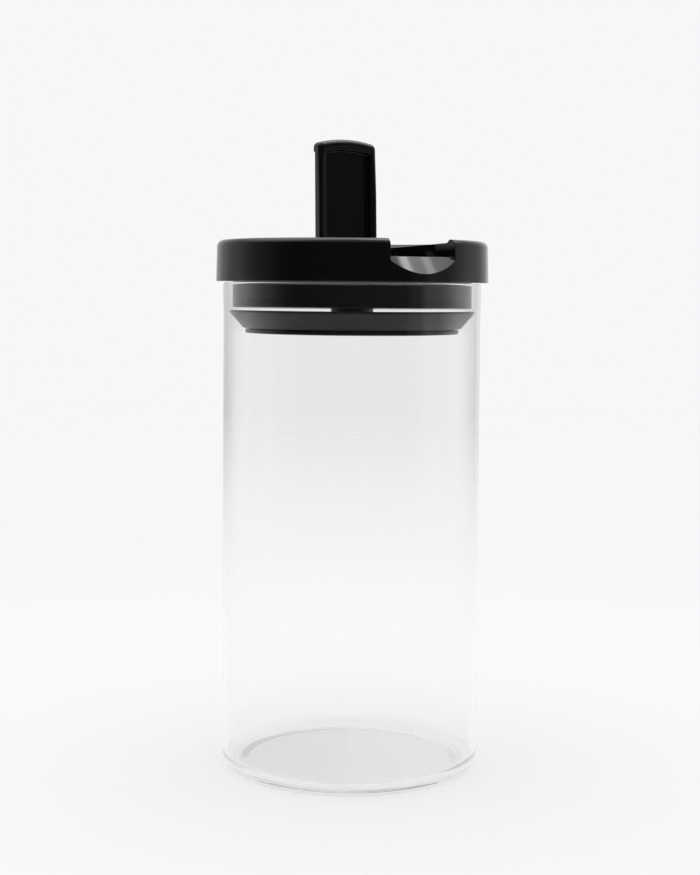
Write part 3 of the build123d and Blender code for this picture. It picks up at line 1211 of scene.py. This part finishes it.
@dataclass
class Studio:
    """Floor, lights and camera as in the photograph. Lengths in metres, angles in degrees.

    Gloss shows a grey surrounding by the direction round the canister, counted from the camera's
    side, negative to its left. It is brighter near the horizon, which ends between the two angles
    in beside. The lamps overhead go by height and by direction. What only passes through glass
    shows the plain backdrop.
    """

    azimuth: float = -30.4
    distance: float = 0.667
    eye_z: float = 0.1885
    lens: float = 68.96
    sensor: float = 36.0
    shift: Point = (-0.0025, -0.1711)
    roll: float = 0.008
    backdrop: float = 0.93
    floor_radius: float = 2.0
    floor_sides: int = 96
    sky_power: float = 0.25
    sky_width: float = 70.0
    sky_tilt: float = -12.0
    surround: tuple[Point, ...] = (
        (-180, 0.75), (-168, 0.68), (-158, 0.66), (-153.5, 0.6), (-147, 0.66), (-141.5, 0.52),
        (-134, 0.56), (-127.5, 0.5), (-119, 0.46), (-110, 0.47), (-99, 0.34), (-86, 0.19),
        (-74, 0.12), (-62, 0.04), (-50, 0.02), (48, 0.04), (56, 0.09), (62, 0.075), (66, 0.18),
        (71, 0.26), (78, 0.22), (83, 0.2), (100, 0.41), (112, 0.52), (123, 0.5), (135, 0.48),
        (140, 0.62), (144, 0.6), (150, 0.71), (158, 0.87), (180, 0.8),
    )
    beside: Point = (106.0, 122.0)
    horizon: tuple[Point, ...] = ((0.0, 1.5), (0.012, 1.5), (0.03, 1.0), (1.0, 1.0))
    overhead: tuple[Point, ...] = (
        (0.0, 0.0), (0.55, 0.0), (0.7, 0.6), (0.8, 1.0), (0.93, 1.6), (1.0, 2.0),
    )
    lamps: tuple[Point, ...] = (
        (-180, 1.0), (-120, 1.2), (-80, 1.0), (-40, 0.4), (40, 0.4), (62, 1.0), (90, 1.2),
        (108, 1.3), (111, 3.2), (115, 3.2), (118, 1.7), (126, 2.2), (128, 6.5), (132, 6.5),
        (134, 0.9), (140, 0.9), (150, 1.0), (180, 1.0),
    )

    def toward_camera(self) -> Vector:
        """Unit vector from the axis to the camera's side."""
        turn = math.radians(self.azimuth)
        return Vector((math.sin(turn), -math.cos(turn), 0))

    def to_right(self) -> Vector:
        """Unit vector to the camera's right."""
        turn = math.radians(self.azimuth)
        return Vector((math.cos(turn), math.sin(turn), 0))

    def build_camera(self) -> None:
        """Level camera with the lens and shift that frame the canister."""
        data = bpy.data.cameras.new("camera")
        data.lens = self.lens
        data.sensor_width = self.sensor
        data.shift_x, data.shift_y = self.shift
        camera = bpy.data.objects.new("camera", data)
        bpy.context.scene.collection.objects.link(camera)
        turned = Matrix.Rotation(math.radians(self.azimuth), 4, "Z")
        level = turned @ Matrix.Rotation(math.pi / 2, 4, "X")
        place = self.toward_camera() * self.distance
        place.z = self.eye_z
        roll = Matrix.Rotation(self.roll, 4, "Z")
        camera.matrix_world = Matrix.Translation(place) @ level @ roll
        bpy.context.scene.camera = camera

    def build_world(self) -> None:
        """Pale backdrop, with a studio round it that only gloss shows."""
        world = bpy.data.worlds.new("studio")
        bpy.context.scene.world = world
        world.use_nodes = True
        graph = Graph(world.node_tree)
        view = graph.node("ShaderNodeTexCoord").outputs["Generated"]
        right = graph.measure("DOT_PRODUCT", view, self.to_right())
        toward = graph.measure("DOT_PRODUCT", view, self.toward_camera())
        rise = graph.measure("DOT_PRODUCT", view, Vector((0, 0, 1)))
        angle = graph.sum("ARCTAN2", right, toward)
        turn = graph.sum("MULTIPLY_ADD", angle, 1 / math.tau, 0.5)

        around = graph.ramp(turn, self.by_turn(self.surround))
        skyline = graph.ramp(rise, self.horizon)
        first, last = (math.radians(degrees) for degrees in self.beside)
        near = graph.remap(graph.sum("ABSOLUTE", angle), last, first).outputs["Result"]
        walls = graph.blend(near, around, skyline, "MULTIPLY")
        above = graph.ramp(rise, self.overhead)
        lamps = graph.ramp(turn, self.by_turn(self.lamps))
        ceiling = graph.blend(1.0, above, lamps, "MULTIPLY")

        path = graph.node("ShaderNodeLightPath").outputs
        whole = graph.sum("LESS_THAN", path["Transparent Depth"], 0.5)
        studio = graph.blend(whole, walls, ceiling, "ADD")
        clear = graph.sum("LESS_THAN", path["Glossy Depth"], 0.5)
        straight = graph.sum("MULTIPLY", clear, path["Is Transmission Ray"])
        shiny = graph.sum("MAXIMUM", path["Is Glossy Ray"], path["Is Transmission Ray"])
        shown = graph.blend(graph.sum("SUBTRACT", shiny, straight), grey(self.backdrop), studio)
        graph.feed(world.node_tree.nodes["Background"].inputs["Color"], shown)

    @staticmethod
    def by_turn(stops: Sequence[Point]) -> list[Point]:
        """Stops of (degrees, level) as shares of a full turn."""
        return [((degrees + 180) / 360, level) for degrees, level in stops]

    def build_floor(self) -> None:
        """Pale round floor that fades into the backdrop."""
        bm = bmesh.new()
        bmesh.ops.create_circle(
            bm, cap_ends=True, segments=self.floor_sides, radius=self.floor_radius
        )
        floor = to_object(bm, "studio_floor")
        floor.data.materials.append(PaleFloor("pale_floor").material())

    def build_sky(self) -> None:
        """Broad soft light from above, which gloss and glass don't mirror."""
        data = bpy.data.lights.new("soft_sky", "SUN")
        data.energy = self.sky_power
        data.angle = math.radians(self.sky_width)
        lamp = bpy.data.objects.new("soft_sky", data)
        lamp.visible_glossy = False
        lamp.visible_transmission = False
        lamp.matrix_world = Matrix.Rotation(math.radians(self.sky_tilt), 4, "X")
        bpy.context.scene.collection.objects.link(lamp)

    def build(self) -> None:
        """Make the studio."""
        self.build_camera()
        self.build_world()
        self.build_floor()
        self.build_sky()
        bpy.context.scene.view_settings.view_transform = "Standard"


def main() -> None:
    """Load the frame, build the studio and every sub-assembly in order, and note the sizes."""
    logging.basicConfig(level=logging.INFO, format="%(name)s: %(message)s")
    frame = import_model()
    log.info("nodes: %s", ", ".join(sorted(frame["nodes"])))
    Studio().build()
    shop = Workshop(finishes())
    for assembly in (Jar, Lid, Plunger, Lever, Spring, Hardware):
        assembly(shop).build()


if __name__ == "__main__":
    main()
